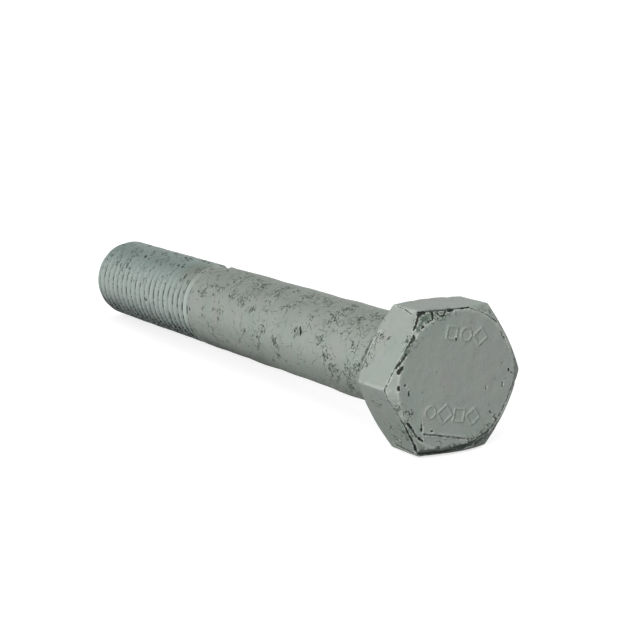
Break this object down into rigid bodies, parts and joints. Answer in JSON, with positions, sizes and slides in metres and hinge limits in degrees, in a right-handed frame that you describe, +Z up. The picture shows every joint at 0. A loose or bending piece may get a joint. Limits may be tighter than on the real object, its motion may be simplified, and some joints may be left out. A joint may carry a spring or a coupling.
{
  "type": "hex head screw",
  "caption": "Part-threaded hex head screw in steel with a matt grey zinc coat, lying on a flat of its head and on its thread.",
  "frame": {"origin": "on the ground, under the middle of the screw's box as it lies", "axes": "+X along the screw towards its head, +Z up, with the screw's own axis rising 2.2 degrees towards the head"},
  "size_m": [0.176, 0.0416, 0.0365],
  "materials": {
    "zinc_coat": "matt grey-green zinc coat over steel, worn at the edges"
  },
  "bodies": {
    "root": {"hex_bolt": "zinc_coat"}
  },
  "joints": []
}
